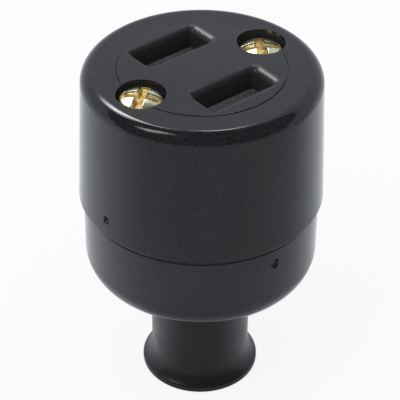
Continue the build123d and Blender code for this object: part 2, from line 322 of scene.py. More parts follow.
class WearMasks:
    """The places of the wear and of the painted shade on one sheet, each a value between 0 and 1."""

    def __init__(self, sheet: NodeSheet, place: Signal, places: WearPlaces) -> None:
        """Works the masks out.

        Args:
            sheet: The sheet that they are on.
            place: The coordinates, in millimetres.
            places: Where the wear is.
        """
        x, y, height = sheet.axes(place)
        radius = sheet.radius(place)
        across = abs(abs(x) - places.slot_x)
        inside = radius.below(*places.open_reach)
        sides = across.within(places.long_sides) * abs(y).below(*places.side_ends)
        self.dusty = inside * height.below(*places.dust)
        self.matt = (sides * height.above(*places.mouth_foot)).larger(self.dusty)
        self.funnel = inside * height.within(places.funnel)
        self.slope = y.within(places.slope) * across.below(*places.slope_sides)
        # Painted shade: a dull dark band on the cup just under the cap's rim
        self.seam = (1.0 - inside) * height.within(places.seam)
        # Painted shade: a thin dull dark line at the disc's step
        self.step = radius.within(places.step) * height.above(*places.step_foot)


@dataclass(frozen=True)
class MouldedBlack:
    """Black moulded thermoset: semi-gloss, grained by its filler, dusty in its openings, with painted shade in a
    dull band under the cap's rim and a dull line at the disc's edge.
    """

    name: str
    dark: Colour = (0.0075, 0.0078, 0.009)
    pale: Colour = (0.0125, 0.0132, 0.0155)
    flecks: tuple[Colour, Colour] = ((0.003, 0.005, 0.0058), (0.026, 0.0245, 0.03))
    fleck_share: float = 0.48
    settled: Colour = (0.03, 0.0295, 0.031)  # Dust in the openings
    scuff: Colour = (0.2, 0.205, 0.215)  # Where blades have rubbed the funnels
    painted_shade: Colour = (0.024, 0.024, 0.026)  # Painted shade, on the dull band under the cap's rim and the line at the disc's edge
    gloss: float = 0.1  # Least roughness
    haze: float = 0.04  # How much rougher its duller patches are
    rub: float = 0.42  # The same for its openings and the long sides of the mouths
    slope_rub: float = 0.17  # The same for the slopes at the mouths' ends
    ior: float = 1.4
    relief: float = 0.004  # Depth of its skin's waves, in millimetres
    places: WearPlaces = WearPlaces()
    flow: Grain = Grain(0.16, 4.0, 0.6, (1.0, 1.0, 0.45))
    hue: Grain = Grain(1.3, 2.0, 0.6)
    filler: Grain = Grain(3.6, 3.0, 0.7)
    smear: Grain = Grain(0.55, 3.0, 0.55, (0.6, 0.6, 1.0))
    peel: Grain = Grain(0.75)

    def material(self) -> bpy.types.Material:
        """Builds the node material.

        Returns:
            The material.
        """
        sheet = NodeSheet.material(self.name)
        place = sheet.millimetres()
        masks = WearMasks(sheet, place, self.places)
        filler = sheet.noise(place, self.filler)
        smear = sheet.noise(place, self.smear)
        peel = sheet.noise(place, self.peel)
        colour = self._colour(sheet, place, masks, filler)
        rough = self.gloss + smear.above(0.35, 0.75) * self.haze + filler * 0.02
        rough = rough + masks.matt * self.rub + masks.slope * self.slope_rub
        normal = sheet.bump(peel * 0.9 + filler * 0.1, self.relief)
        sockets = {"Base Color": colour, "Roughness": rough, "Normal": normal, "IOR": self.ior}
        shell = sheet.add("ShaderNodeBsdfPrincipled", {}, sockets)
        # A dull dark diffuse that paints shade on the band under the cap's rim and on the line at the disc's
        # edge
        dull = sheet.add("ShaderNodeBsdfDiffuse", {}, {"Color": (*self.painted_shade, 1.0)})
        share = masks.seam * (0.5 + smear * 0.4) + masks.step * (0.25 + smear.above(0.4, 0.6) * 0.6)
        return sheet.mixed(share, shell, dull)

    def _colour(self, sheet: NodeSheet, place: Signal, masks: WearMasks, filler: Signal) -> Signal:
        """The plastic's colour: mottled and flecked, dusty in its openings and scuffed in its funnels.

        Args:
            sheet: The material's sheet.
            place: The coordinates, in millimetres.
            masks: Where the wear is.
            filler: The filler's pattern.

        Returns:
            The colour.
        """
        flow = sheet.noise(place, self.flow)
        hue = sheet.noise(place, self.hue)
        mottle = flow.above(0.3, 0.7) * 0.6 + hue.above(0.35, 0.65) * 0.4
        colour = sheet.blend(mottle, self.dark, self.pale)
        colour = sheet.blend(self.fleck_share, colour, sheet.blend(filler.above(0.36, 0.64), *self.flecks))
        colour = sheet.blend(masks.dusty * (0.6 + filler * 0.6), colour, self.settled)
        return sheet.blend(masks.funnel * filler.above(0.1, 0.85) * 0.85, colour, self.scuff)


@dataclass(frozen=True)
class SleeveVinyl:
    """Soft black vinyl: satin, with faint draw lines along the sleeve."""

    name: str = "sleeve_vinyl"
    dark: Colour = (0.006, 0.006, 0.0068)
    pale: Colour = (0.0105, 0.0105, 0.0118)
    gloss: float = 0.46
    haze: float = 0.1
    ior: float = 1.36
    coat: float = 0.4
    coat_gloss: float = 0.22
    relief: float = 0.02
    cloud: Grain = Grain(0.3, 3.0, 0.55)
    draw: Grain = Grain(1.6, stretch=(1.0, 1.0, 0.06))
    skin: Grain = Grain(3.2, 3.0, 0.6)

    def material(self) -> bpy.types.Material:
        """Builds the node material.

        Returns:
            The material.
        """
        sheet = NodeSheet.material(self.name)
        place = sheet.millimetres()
        cloud = sheet.noise(place, self.cloud)
        draw = sheet.noise(place, self.draw)
        skin = sheet.noise(place, self.skin)
        colour = sheet.blend(cloud.above(0.3, 0.7) * 0.7 + skin * 0.3, self.dark, self.pale)
        rough = self.gloss + cloud.above(0.35, 0.7) * self.haze + skin * 0.05
        normal = sheet.bump(draw * 0.5 + skin * 0.5, self.relief)
        sockets = {"Base Color": colour, "Roughness": rough, "Normal": normal, "IOR": self.ior}
        return sheet.surface({**sockets, "Coat Weight": self.coat, "Coat Roughness": self.coat_gloss})


@dataclass(frozen=True)
class ZincPlate:
    """Yellow zinc plating on a screw: gold with green and rose tints, dull and brown in its recess."""

    name: str
    crown: float  # Height of the head's top
    gold: Colour = (0.72, 0.63, 0.41)
    green: Colour = (0.62, 0.65, 0.44)
    rose: Colour = (0.74, 0.63, 0.55)
    recess_brown: Colour = (0.34, 0.17, 0.04)
    recess_gold: Colour = (0.66, 0.5, 0.13)
    gloss: float = 0.2
    recess: Pair = (0.455, 0.98)  # Depths over which the recess turns dull
    relief: float = 0.015
    tint: Grain = Grain(0.55)
    blush: Grain = Grain(0.8, stretch=(1.0, 1.0, 2.0))
    fine: Grain = Grain(9.0, 3.0, 0.6)

    def material(self) -> bpy.types.Material:
        """Builds the node material.

        Returns:
            The material.
        """
        sheet = NodeSheet.material(self.name)
        place = sheet.millimetres()
        tint = sheet.noise(place, self.tint)
        blush = sheet.noise(place, self.blush)
        fine = sheet.noise(place, self.fine)
        plate = sheet.blend(tint.above(0.42, 0.62), self.gold, self.green)
        plate = sheet.blend(blush.above(0.5, 0.7) * 0.6, plate, self.rose)
        depth = self.crown - sheet.axes(place)[2]
        # Darker, browner, rougher and less metallic deeper in the recess
        deep = depth.above(*self.recess) * (0.65 + fine * 0.6)
        colour = sheet.blend(deep, plate, sheet.blend(blush.above(0.4, 0.6), self.recess_brown, self.recess_gold))
        rough = self.gloss + fine.above(0.35, 0.75) * 0.12 + deep * 0.3
        normal = sheet.bump(fine * 0.6 + tint * 0.4, self.relief)
        metallic = 1.0 - deep * 0.6
        return sheet.surface({"Base Color": colour, "Metallic": metallic, "Roughness": rough, "Normal": normal})


@dataclass(frozen=True)
class BareMetal:
    """Bare or plated metal inside the body, with faint rolling lines and tarnish."""

    name: str
    bright: Colour
    tarnish: Colour
    gloss: float = 0.28
    lines: Grain = Grain(12.0, stretch=(1.0, 0.15, 1.0))
    cloud: Grain = Grain(0.5, 4.0, 0.6)
    relief: float = 0.006

    def material(self) -> bpy.types.Material:
        """Builds the node material.

        Returns:
            The material.
        """
        sheet = NodeSheet.material(self.name)
        place = sheet.millimetres()
        lines = sheet.noise(place, self.lines)
        cloud = sheet.noise(place, self.cloud)
        colour = sheet.blend(cloud.above(0.4, 0.75) * 0.7, self.bright, self.tarnish)
        rough = self.gloss + cloud.above(0.35, 0.75) * 0.14 + lines * 0.06
        normal = sheet.bump(lines, self.relief)
        return sheet.surface({"Base Color": colour, "Metallic": 1.0, "Roughness": rough, "Normal": normal})


# Mesh shop


@dataclass(frozen=True)
class Corner:
    """One corner of a section, in millimetres."""

    r: float  # Distance from the axis
    z: float  # Height
    ease: float = 0.0  # Length of each edge that its rounding takes
    steps: int = 6  # How many edges make the rounding


class Blank:
    """A mesh in the making. Sizes are given in millimetres."""

    SHARP = math.radians(32)
    WELD = 0.0005

    def __init__(self, bm: Optional[bmesh.types.BMesh] = None) -> None:
        """Takes a mesh over, or starts with no geometry."""
        self.bm = bmesh.new() if bm is None else bm

    @classmethod
    def turned(cls, section: Sequence[Corner], steps: int = 192) -> "Blank":
        """A section turned about Z.

        Args:
            section: The section's corners in order; two of them may lie on the axis.
            steps: How many steps the full turn has.

        Returns:
            The closed, turned shape.
        """
        blank = cls()
        bm = blank.bm
        corners = [(bm.verts.new((c.r * MM, 0, c.z * MM)), c) for c in section]
        bm.faces.new([vert for vert, _ in corners])
        for vert, corner in corners:
            if corner.ease:
                blank._rounded_corners([vert], corner.ease, corner.steps)
        bmesh.ops.delete(bm, geom=bm.faces[:], context="FACES_ONLY")
        on_axis = [e for e in bm.edges if all(abs(v.co.x) < TINY for v in e.verts)]
        if on_axis:
            bmesh.ops.delete(bm, geom=on_axis, context="EDGES_FACES")
        bmesh.ops.spin(
            bm,
            geom=bm.verts[:] + bm.edges[:],
            cent=(0, 0, 0),
            axis=(0, 0, 1),
            angle=math.tau,
            steps=steps,
            use_merge=True,
        )
        bmesh.ops.remove_doubles(bm, verts=bm.verts[:], dist=2 * cls.WELD * MM)
        poles = [v for v in bm.verts if v.co.to_2d().length < TINY]
        bmesh.ops.dissolve_verts(bm, verts=poles)
        return blank._outwards()

    @classmethod
    def bar(cls, size: Pair, low: float, high: float) -> "Blank":
        """An upright bar, centred on the axis.

        Args:
            size: Its width along X and its depth along Y.
            low: Height of its lower end.
            high: Height of its upper end.

        Returns:
            The bar.
        """
        blank = cls()
        verts = bmesh.ops.create_cube(blank.bm, size=1.0)["verts"]
        bmesh.ops.scale(blank.bm, vec=(size[0] * MM, size[1] * MM, (high - low) * MM), verts=verts)
        return blank.moved(0, 0, (low + high) / 2)

    @classmethod
    def stacked(cls, levels: Sequence[tuple[float, float, float, float]], steps: int = 6) -> "Blank":
        """An upright shape that runs through rounded rectangles at several heights.

        Args:
            levels: Height, width along X, depth along Y and corner radius of each rectangle, from the lowest up.
            steps: How many edges make a corner.

        Returns:
            The closed shape.
        """
        blank = cls()
        bm = blank.bm
        loops = []
        for height, width, depth, corner in levels:
            older = set(bm.edges)
            sheet = bmesh.ops.create_grid(bm, x_segments=1, y_segments=1, size=0.5)["verts"]
            bmesh.ops.scale(bm, vec=(width * MM, depth * MM, 1), verts=sheet)
            bmesh.ops.translate(bm, vec=(0, 0, height * MM), verts=sheet)
            blank._rounded_corners(sheet, corner, steps)
            loops.append([edge for edge in bm.edges if edge not in older])
        between = {face for loop in loops[1:-1] for edge in loop for face in edge.link_faces}
        bmesh.ops.delete(bm, geom=list(between), context="FACES_ONLY")
        for lower, upper in zip(loops, loops[1:]):
            bmesh.ops.bridge_loops(bm, edges=lower + upper)
        return blank._outwards()

    @classmethod
    def rod(cls, radius: float, low: float, high: float, steps: int = 96) -> "Blank":
        """An upright rod on the axis.

        Args:
            radius: Its radius.
            low: Height of its lower end.
            high: Height of its upper end.
            steps: How many sides it has.

        Returns:
            The rod.
        """
        blank = cls()
        bmesh.ops.create_cone(
            blank.bm,
            cap_ends=True,
            cap_tris=False,
            segments=steps,
            radius1=radius * MM,
            radius2=radius * MM,
            depth=(high - low) * MM,
        )
        return blank.moved(0, 0, (low + high) / 2)

    def _rounded_corners(self, corners: Sequence[bmesh.types.BMVert], ease: float, steps: int) -> None:
        """Rounds the corners of a flat face.

        Args:
            corners: The corners.
            ease: Length of each edge that a rounding takes.
            steps: How many edges make a rounding.
        """
        bmesh.ops.bevel(
            self.bm,
            geom=corners,
            offset=ease * MM,
            offset_type="ABSOLUTE",
            segments=steps,
            profile=0.5,
            affect="VERTICES",
            material=-1,
        )

    def _outwards(self) -> "Blank":
        """Turns the faces outwards."""
        bmesh.ops.recalc_face_normals(self.bm, faces=self.bm.faces[:])
        return self

    def moved(self, x: float, y: float, z: float) -> "Blank":
        """Shifts the whole shape."""
        bmesh.ops.translate(self.bm, vec=(x * MM, y * MM, z * MM), verts=self.bm.verts[:])
        return self

    def pair(self, x: float, y: float) -> list["Blank"]:
        """A copy of the shape at (-x, -y), and the shape itself at (x, y)."""
        return [Blank(self.bm.copy()).moved(-x, -y, 0), self.moved(x, y, 0)]

    def spun(self, degrees: float, axis: str = "Z") -> "Blank":
        """Turns the whole shape about an axis through the origin.

        Args:
            degrees: The angle.
            axis: The axis.

        Returns:
            The same blank.
        """
        turn = Matrix.Rotation(math.radians(degrees), 3, axis)
        bmesh.ops.rotate(self.bm, cent=(0, 0, 0), matrix=turn, verts=self.bm.verts[:])
        return self

    def placed(self, name: str) -> bpy.types.Object:
        """An object in the scene with this mesh.

        Args:
            name: The object's name.

        Returns:
            The object.
        """
        mesh = bpy.data.meshes.new(name)
        self.bm.to_mesh(mesh)
        piece = bpy.data.objects.new(name, mesh)
        bpy.context.scene.collection.objects.link(piece)
        return piece

    def _combined(self, operation: str, tools: Iterable["Blank"]) -> "Blank":
        """Combines the shape with others.

        Args:
            operation: The Boolean modifier's operation.
            tools: The other shapes, which are used up.

        Returns:
            The same blank.
        """
        body = self.placed("blank")
        others = [tool.placed("tool") for tool in tools]
        for other in others:
            modifier = body.modifiers.new("combine", "BOOLEAN")
            modifier.operation = operation
            modifier.solver = "EXACT"
            modifier.object = other
        depsgraph = bpy.context.evaluated_depsgraph_get()
        result = bpy.data.meshes.new_from_object(body.evaluated_get(depsgraph))
        self.bm.clear()
        self.bm.from_mesh(result)
        bpy.data.meshes.remove(result)
        for used in [body, *others]:
            bpy.data.meshes.remove(used.data)
        bmesh.ops.remove_doubles(self.bm, verts=self.bm.verts[:], dist=self.WELD * MM)
        return self

    def cut(self, *tools: "Blank") -> "Blank":
        """Cuts the tools out of the shape."""
        return self._combined("DIFFERENCE", tools)

    def joined(self, *tools: "Blank") -> "Blank":
        """Joins the tools to the shape."""
        return self._combined("UNION", tools)

    def chamfered(self, chosen: Callable[[bmesh.types.BMEdge], bool], width: float) -> "Blank":
        """Breaks chosen edges.

        Args:
            chosen: Says whether an edge is broken.
            width: Width of the chamfer on each side of the edge.

        Returns:
            The same blank.
        """
        edges = [e for e in self.bm.edges if len(e.link_faces) == 2 and chosen(e)]
        bmesh.ops.bevel(
            self.bm,
            geom=edges,
            offset=width * MM,
            offset_type="OFFSET",
            segments=1,
            profile=0.5,
            affect="EDGES",
            material=-1,
            clamp_overlap=True,
        )
        return self

    def piece(self, name: str, slot: Slot, material: bpy.types.Material, *nodes: str) -> bpy.types.Object:
        """Finishes the shape as a piece of the socket.

        Args:
            name: The piece's name.
            slot: The record's material slot; not used.
            material: Its finish.
            nodes: The nodes that it stands for.

        Returns:
            The piece.
        """
        for face in self.bm.faces:
            face.smooth = True
        for edge in self.bm.edges:
            edge.smooth = len(edge.link_faces) == 2 and edge.calc_face_angle(0.0) < self.SHARP
        piece = self.placed(name)
        piece.data.materials.append(material)
        weighted = piece.modifiers.new("even_shading", "WEIGHTED_NORMAL")
        weighted.keep_sharp = True
        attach(piece, BODY)
        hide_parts(*nodes)
        LOG.info("%s: %d faces", name, len(piece.data.polygons))
        self.bm.free()
        return piece


# Pieces of the socket


@dataclass(frozen=True)
class BodyHeights:
    """Heights that the pieces share, in millimetres above the lip."""

    cup_base: float = 17.5
    floor: float = 19.9
    deck: float = 29.6
    seam: float = 30.0
    spigot_top: float = 32.8
    groove_top: float = 33.0
    face: float = 49.05
    disc_edge: float = 49.15
    disc: float = 49.3


@dataclass(frozen=True)
class GatePit:
    """The small pit where a moulding's gate was broken off."""

    width: float
    height: float
    corner: float
    level: float  # Height of its middle
    heading: float  # Which way the wall faces there, in degrees from X
    depth: float = 0.45
    foot: float = 0.55  # Size of its floor, as a share of its mouth

    def tool(self, radius: float) -> Blank:
        """A cutter for the pit.

        Args:
            radius: The wall's radius.

        Returns:
            The cutter.
        """
        mouth = (self.height, self.width, self.corner)
        floor = tuple(self.foot * size for size in mouth)
        levels = [(radius - self.depth, *floor), (radius, *mouth), (radius + PASS, *mouth)]
        return Blank.stacked(levels, 5).spun(90, "Y").spun(self.heading).moved(0, 0, self.level)


@dataclass
class SocketCap:
    """The upper moulding, with the raised disc, the blade slots and the counterbores."""

    heights: BodyHeights
    finish: MouldedBlack = MouldedBlack("cap_black")
    rim_radius: float = 16.35
    top_radius: float = 15.65
    top_ease: float = 1.7352
    rim_ease: float = 0.25
    disc_radius: float = 11.0
    disc_eases: Pair = (0.03, 0.06)  # At the foot and at the top of the disc's step
    disc_land: float = 0.12  # A narrow ring that holds the shading of the disc's edge
    crown_rings: int = 12
    block_radius: float = 12.55
    skirt_inner: float = 14.45
    slot_x: float = 6.35
    pocket: Triple = (4.0, 9.5, 0.5)  # Width, length and corner radius
    pocket_floor: float = 46.3
    mouth_round: float = 0.85
    mouth_steps: int = 10
    end_spread: float = 1.65  # How much longer the mouth's rounding is at the ends
    tight_end: Pair = (0.45, 0.3)  # How far the -Y end moves out, and the share of its rounding that stays
    slot: Triple = (2.6, 9.1, 0.3)  # Width, length and corner radius
    funnel_floor: float = 45.6
    slot_floor: float = 44.5
    chamber: Pair = (5.6, 9.5)  # Width and length
    screw_y: float = 9.9
    counterbore: float = 3.2
    bore_edge: float = 0.05
    screw_hole: float = 1.7
    seats: Pair = (47.5, 47.1)  # Front and back
    tip_room: Triple = (7.27, 1.65, 1.8)  # Place, radius and depth over a terminal screw
    barrier: Triple = (1.6, 13.4, 24.1)  # Thickness, length and foot
    pit: GatePit = GatePit(1.15, 1.3, 0.45, level=32.6, heading=-88)

    def section(self) -> list[Corner]:
        """The turned section, from the axis under the deck round to the axis on the disc.

        Returns:
            Its corners.
        """
        h = self.heights
        rings = [self.disc_radius * ring / self.crown_rings for ring in range(self.crown_rings - 1, -1, -1)]
        crown = [self.disc_radius - self.disc_land, *rings]
        foot_ease, edge_ease = self.disc_eases
        return [
            Corner(0, h.deck),
            Corner(self.block_radius, h.deck),
            Corner(self.block_radius, h.groove_top),
            Corner(self.skirt_inner, h.groove_top),
            Corner(self.skirt_inner, h.seam),
            Corner(self.rim_radius, h.seam, self.rim_ease, 5),
            Corner(self.top_radius, h.face, self.top_ease, 14),
            Corner(self.disc_radius, h.face, foot_ease, 2),
            Corner(self.disc_radius, h.disc_edge, edge_ease, 3),
            *(Corner(r, h.disc - self._sag(r)) for r in crown),
        ]

    def _sag(self, radius: float) -> float:
        """How far the crowned disc has fallen at a radius."""
        return (self.heights.disc - self.heights.disc_edge) * (radius / self.disc_radius) ** 2

    def build(self) -> bpy.types.Object:
        """Builds the cap and dresses it.

        Returns:
            The piece.
        """
        h = self.heights
        over = h.disc + PASS
        under = h.deck - PASS
        terminal_y, tip_radius, tip_depth = self.tip_room
        front, back = (Blank.rod(self.counterbore, seat, over) for seat in self.seats)
        cap = Blank.turned(self.section()).cut(
            self._slot(-self.slot_x),
            self._slot(self.slot_x),
            *Blank.bar(self.chamber, under, self.slot_floor).pair(self.slot_x, 0),
            *Blank.rod(tip_radius, under, h.deck + tip_depth, 48).pair(self.slot_x, -terminal_y),
            *Blank.rod(self.screw_hole, under, over).pair(0, self.screw_y),
            front.moved(0, -self.screw_y, 0),
            back.moved(0, self.screw_y, 0),
            self.pit.tool(self.rim_radius),
        )
        cap.chamfered(self._on_bore_mouth, self.bore_edge)
        thickness, length, foot = self.barrier
        cap.joined(Blank.bar((thickness, length), foot, h.deck + BITE))
        return cap.piece("cap_moulding", Slot.MOULDING, self.finish.material(), "socket_cap")

    def _slot(self, x: float) -> Blank:
        """A cutter for one blade slot, its funnel, its pocket and the pocket's rounded mouth.

        Args:
            x: The slot's place across the face.

        Returns:
            The cutter, whose mouth follows the crowned disc.
        """
        width, length, corner = self.pocket
        top = self.heights.disc
        levels = [
            (self.slot_floor - PASS, *self.slot),
            (self.funnel_floor, *self.slot),
            (self.pocket_floor, *self.pocket),
        ]
        for step in range(self.mouth_steps, -1, -1):
            angle = math.radians(90 * step / self.mouth_steps)
            spread = self.mouth_round * (1 - math.sin(angle))
            fall = self.mouth_round * (1 - math.cos(angle))
            long = length + 2 * self.end_spread * spread
            levels.append((top - fall, width + 2 * spread, long, corner + spread))
        levels.append((top + PASS, *levels[-1][1:]))
        cutter = Blank.stacked(levels).moved(x, 0, 0)
        shift, share = self.tight_end
        for vert in cutter.bm.verts:
            if vert.co.z > (self.pocket_floor - SLACK) * MM and vert.co.y < 0:
                beyond = max(-vert.co.y / MM - length / 2, 0)
                vert.co.y += (beyond * (1 - share) - shift) * MM
            if vert.co.z > (top - self.mouth_round - SLACK) * MM:
                vert.co.z -= self._sag(vert.co.to_2d().length / MM) * MM
        return cutter

    def _on_bore_mouth(self, edge: bmesh.types.BMEdge) -> bool:
        """Tells the edges round the counterbores' mouths.

        Args:
            edge: An edge of the cap.

        Returns:
            Whether it is one of them.
        """
        ends = [v.co / MM for v in edge.verts]
        off = [abs(math.hypot(p.x, abs(p.y) - self.screw_y) - self.counterbore) for p in ends]
        high = min(p.z for p in ends) > self.heights.face - NEAR
        return high and max(off) < NEAR and edge.calc_face_angle(0.0) > Blank.SHARP


@dataclass
class CordCup:
    """The lower moulding, with its round bottom and the spigot that enters the cap."""

    heights: BodyHeights
    # A lighter copy of the cap's black: painted light, for the brighter light the cup shows
    finish: MouldedBlack = MouldedBlack("cup_black_lightened", (0.017, 0.0174, 0.0195), (0.024, 0.025, 0.028))
    hole_radius: float = 6.9
    radius: float = 15.75
    bottom_round: float = 4.0
    spigot_radius: float = 14.25
    inner_radius: float = 12.75
    inner_round: float = 2.0
    relief: Pair = (0.1, 0.72)  # Depth and height of the groove under the cap's rim
    relief_ease: float = 0.06
    boss: Triple = (9.9, 2.8, 29.3)  # Place, radius and top
    insert: Pair = (2.0, 6.0)  # Radius and length
    rib: tuple[float, float, float, float] = (9.4, 13.25, 2.5, 28.25)  # Start, end, thickness and top
    pit: GatePit = GatePit(1.35, 1.6, 0.55, level=27.0, heading=-1.5)

    def section(self) -> list[Corner]:
        """The turned section, from the cord hole round to the inside of the floor.

        Returns:
            Its corners.
        """
        h = self.heights
        groove_depth, groove_height = self.relief
        groove_radius = self.radius - groove_depth
        groove_base = h.seam - groove_height
        return [
            Corner(self.hole_radius, h.cup_base),
            Corner(self.radius, h.cup_base, self.bottom_round, 20),
            Corner(self.radius, groove_base, self.relief_ease, 2),
            Corner(groove_radius, groove_base),
            Corner(groove_radius, h.seam),
            Corner(self.spigot_radius, h.seam),
            Corner(self.spigot_radius, h.spigot_top),
            Corner(self.inner_radius, h.spigot_top),
            Corner(self.inner_radius, h.floor, self.inner_round, 8),
            Corner(self.hole_radius, h.floor),
        ]

    def build(self) -> bpy.types.Object:
        """Builds the cup and dresses it.

        Returns:
            The piece.
        """
        offset, boss_radius, boss_top = self.boss
        start, end, thickness, rib_top = self.rib
        insert_radius, insert_length = self.insert
        foot = self.heights.floor - BITE
        cup = Blank.turned(self.section()).joined(
            *Blank.rod(boss_radius, foot, boss_top).pair(0, offset),
            *Blank.bar((2 * boss_radius, end - offset), foot, boss_top).pair(0, (offset + end) / 2),
            *Blank.bar((end - start, thickness), foot, rib_top).pair((start + end) / 2, 0),
        )
        holes = Blank.rod(insert_radius, boss_top - insert_length, boss_top + PASS).pair(0, offset)
        cup.cut(*holes, self.pit.tool(self.radius))
        return cup.piece("cup_moulding", Slot.MOULDING, self.finish.material(), "cord_cup")


@dataclass
class CordBush:
    """The soft sleeve with the flared mouth."""

    heights: BodyHeights
    finish: SleeveVinyl = SleeveVinyl()
    radius: float = 6.8
    bore: float = 4.2
    lip_radius: float = 8.1
    lip_round: float = 0.4
    lip_turn: float = 0.965
    lip_ease: float = 0.213
    flare_turn: float = 1.825
    flare_ease: float = 1.341
    mouth_radius: float = 6.8
    mouth_edge: float = 0.1
    mouth_turn: float = 1.549
    mouth_ease: float = 3.03
    flange_radius: float = 9.1
    flange_top: float = 21.9
    flange_key: float = 6.9  # Distance of its two flats from the axis
    steps: int = 160

    def section(self) -> list[Corner]:
        """The turned section, from the mouth round to the bore.

        Returns:
            Its corners.
        """
        floor = self.heights.floor
        return [
            Corner(self.mouth_radius, 0, self.mouth_edge, 3),
            Corner(self.lip_radius, 0, self.lip_round, 8),
            Corner(self.lip_radius, self.lip_turn, self.lip_ease, 8),
            Corner(self.radius, self.flare_turn, self.flare_ease, 16),
            Corner(self.radius, floor),
            Corner(self.flange_radius, floor),
            Corner(self.flange_radius, self.flange_top),
            Corner(self.bore, self.flange_top),
            Corner(self.bore, self.mouth_turn, self.mouth_ease, 12),
        ]

    def build(self) -> bpy.types.Object:
        """Builds the sleeve and dresses it.

        Returns:
            The piece.
        """
        reach = self.flange_radius + PASS
        size = (2 * reach, reach - self.flange_key)
        shift = (reach + self.flange_key) / 2
        keys = Blank.bar(size, self.heights.floor, self.flange_top + PASS).pair(0, shift)
        sleeve = Blank.turned(self.section(), self.steps).cut(*keys)
        return sleeve.piece("cord_sleeve", Slot.SLEEVE, self.finish.material(), "cord_bush")


def smooth(share: float) -> float:
    """A smooth step from 0 to 1."""
    share = min(max(share, 0.0), 1.0)
    return share * share * (3 - 2 * share)


@dataclass
class CoverScrew:
    """A pan-head screw with a cross that runs out to the rim of its head."""

    name: str
    y: float
    seat: float
    recess_angle: float  # In degrees
    radius: float = 1.5
    length: float = 23.3
    tip_ease: float = 0.3
    head_radius: float = 2.75
    head_height: float = 1.6
    head_side: float = 1.0
    head_edge: float = 0.32
    head_ease: float = 0.224
    rings: int = 72
    steps: int = 256
    arms: Pair = (0.34, 0.4)  # Half width of an arm's floor, and width of its sides
    reach: Pair = (1.5, 2.6)  # Where an arm starts to rise, and where it has risen
    depths: Pair = (0.95, 0.35)  # In the middle and at the ends

    def section(self) -> list[Corner]:
        """The turned section, from the tip round to the crown.

        Returns:
            Its corners.
        """
        edge = self.head_radius - self.head_edge
        rings = [edge * ring / self.rings for ring in range(self.rings, -1, -1)]
        return [
            Corner(0, -self.length),
            Corner(self.radius, -self.length, self.tip_ease, 2),
            Corner(self.radius, 0),
            Corner(self.head_radius, 0),
            Corner(self.head_radius, self.head_side, self.head_ease, 6),
            *(Corner(r, self._dome(r)) for r in rings),
        ]

    def _dome(self, radius: float) -> float:
        """Height of the head's domed top at a radius."""
        return self.head_height - (self.head_height - self.head_side) * (radius / self.head_radius) ** 2

    def _pressed(self, along: float, across: float) -> float:
        """How deep the recess is at a place on the head.

        Args:
            along: Distance along one pair of arms.
            across: Distance across it.

        Returns:
            The depth that this pair of arms has there.
        """
        half, slope = self.arms
        side = smooth((half + slope - abs(across)) / slope)
        end = smooth((abs(along) - self.reach[0]) / (self.reach[1] - self.reach[0]))
        middle, outer = self.depths
        return side * (middle + (outer - middle) * end)

    def build(self) -> bpy.types.Object:
        """Builds the screw, presses its recess in and dresses it.

        Returns:
            The piece.
        """
        screw = Blank.turned(self.section(), self.steps)
        for vert in screw.bm.verts:
            if vert.co.z > (self.head_side - SLACK) * MM:
                x, y = vert.co.x / MM, vert.co.y / MM
                vert.co.z -= max(self._pressed(x, y), self._pressed(y, x)) * MM
        screw.spun(self.recess_angle).moved(0, self.y, self.seat)
        finish = ZincPlate(f"zinc_{self.name}", self.seat + self.head_height)
        return screw.piece(f"{self.name}_head_screw", Slot.ZINC, finish.material(), f"cover_screw_{self.name}")


@dataclass
class Internals:
    """The contacts, terminals and inserts inside, which keep their solids and get their metals."""

    brass: BareMetal = BareMetal("turned_brass", (0.83, 0.63, 0.27), (0.52, 0.36, 0.15))
    bronze: BareMetal = BareMetal("spring_bronze", (0.74, 0.5, 0.27), (0.45, 0.27, 0.14), 0.3)
    steel: BareMetal = BareMetal(
        "nickel_steel", (0.66, 0.64, 0.6), (0.46, 0.43, 0.38), 0.25, Grain(12.0, stretch=(1.0, 1.0, 0.2))
    )

    def dress(self) -> None:
        """Gives each inner node its finish."""
        metals = {
            Slot.BRASS: (self.brass, ("terminal_plate", "contact_rivet", "cover_insert")),
            Slot.BRONZE: (self.bronze, ("contact_jaw",)),
            Slot.STEEL: (self.steel, ("terminal_washer", "terminal_screw")),
        }
        for slot, (finish, stems) in metals.items():
            material = finish.material()
            for name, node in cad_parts.items():
                if name.startswith(stems):
                    node.data.materials.clear()
                    node.data.materials.append(material)
                    LOG.info("%s: %s", name, slot.value)


# Studio


def heading(azimuth: float, elevation: float) -> Vector:
    """A unit vector from the socket towards a view.

    Args:
        azimuth: The view's azimuth, in degrees.
        elevation: Its elevation, in degrees.

    Returns:
        The direction.
    """
    a, e = math.radians(azimuth), math.radians(elevation)
    return Vector((math.sin(a) * math.cos(e), -math.cos(a) * math.cos(e), math.sin(e)))


@dataclass(frozen=True)
class Softbox:
    """A rectangular lamp that faces the socket."""

    name: str
    azimuth: float  # In degrees, as a view's azimuth
    elevation: float  # In degrees
    size: Pair  # Width and height, in metres
    radiance: float  # How bright its face is, where a white floor is about 1
    lit: bool = True  # Whether it lights the object
    mirrored: bool = True  # Whether gloss shows it
    distance: float = 0.7  # In metres

    def place(self, target: Vector) -> bpy.types.Object:
        """Puts the lamp in the scene.

        Args:
            target: What it faces.

        Returns:
            The lamp.
        """
        data = bpy.data.lights.new(self.name, "AREA")
        data.shape = "RECTANGLE"
        data.size, data.size_y = self.size
        data.energy = self.radiance * math.pi * self.size[0] * self.size[1]
        lamp = bpy.data.objects.new(self.name, data)
        away = heading(self.azimuth, self.elevation)
        lamp.location = target + away * self.distance
        lamp.rotation_euler = away.to_track_quat("Z", "Y").to_euler()
        lamp.visible_diffuse = self.lit
        lamp.visible_glossy = self.mirrored
        bpy.context.scene.collection.objects.link(lamp)
        return lamp


